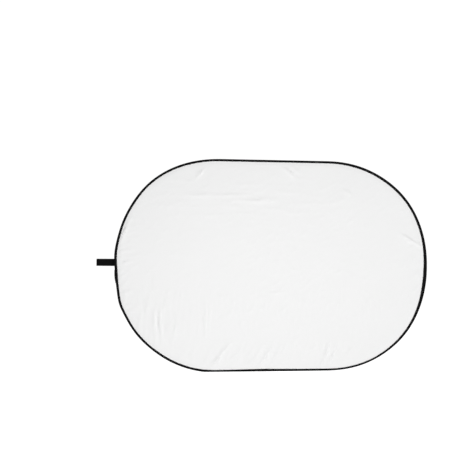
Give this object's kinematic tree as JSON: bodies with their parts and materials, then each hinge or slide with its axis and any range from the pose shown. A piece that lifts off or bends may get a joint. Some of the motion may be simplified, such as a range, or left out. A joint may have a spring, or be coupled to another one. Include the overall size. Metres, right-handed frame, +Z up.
{
  "type": "collapsible reflector disc",
  "caption": "Oblong collapsible light reflector: white and silver cloth on a sprung steel hoop, with a bound rim and a hanging loop. It folds in half.",
  "frame": {"origin": "centre of the disc's outline, between its two cloth faces", "axes": "+X along the long axis, away from the hanging loop; +Y out of the silver face, so the white face looks along -Y; +Z up the short axis"},
  "size_m": [0.9512, 0.0163, 0.6],
  "materials": {
    "white_cloth": "matt woven nylon",
    "silver_cloth": "metallised woven cloth, creased",
    "black_tape": "ribbed binding tape",
    "black_webbing": "woven webbing",
    "black_thread": "twisted polyester thread",
    "spring_steel": "blue-grey rolled strip",
    "zinc_steel": "zinc plated"
  },
  "bodies": {
    "left_half": {"white_face_left": "white_cloth", "white_face_fold": "white_cloth", "silver_face_left": "silver_cloth", "silver_face_fold": "silver_cloth", "hoop_band_left_upper": "spring_steel", "hoop_band_left_lower": "spring_steel", "hoop_band_fold_top": "spring_steel", "hoop_band_fold_bottom": "spring_steel", "hoop_joint_sleeve": "zinc_steel", "binding_tape_left": "black_tape", "binding_tape_fold_top": "black_tape", "binding_tape_fold_bottom": "black_tape", "binding_lap": "black_tape", "needle_thread_left": "black_thread", "needle_thread_fold_top": "black_thread", "needle_thread_fold_bottom": "black_thread", "bobbin_thread_left": "black_thread", "bobbin_thread_fold_top": "black_thread", "bobbin_thread_fold_bottom": "black_thread", "strap_anchor": "black_webbing", "strap_bar_tack": "black_thread"},
    "right_half": {"white_face_right": "white_cloth", "silver_face_right": "silver_cloth", "hoop_band_right": "spring_steel", "binding_tape_right": "black_tape", "needle_thread_right": "black_thread", "bobbin_thread_right": "black_thread"},
    "hanging_strap": {"strap_loop": "black_webbing"}
  },
  "joints": [
    {"name": "fold_in_half", "type": "hinge", "parent": "left_half", "child": "right_half", "pos_m": [0, 0, 0], "axis": [0, 0, 1], "range_deg": [-150, 150], "stiffness_Nm_per_rad": 0.8, "deforming": ["white_face_fold", "silver_face_fold", "hoop_band_fold_top", "hoop_band_fold_bottom", "binding_tape_fold_top", "binding_tape_fold_bottom", "needle_thread_fold_top", "needle_thread_fold_bottom", "bobbin_thread_fold_top", "bobbin_thread_fold_bottom"]},
    {"name": "strap_swing", "type": "hinge", "parent": "left_half", "child": "hanging_strap", "pos_m": [-0.4522, 0.00445, 0.006], "axis": [0, 0, 1], "range_deg": [-90, 90], "stiffness_Nm_per_rad": 0.01}
  ]
}
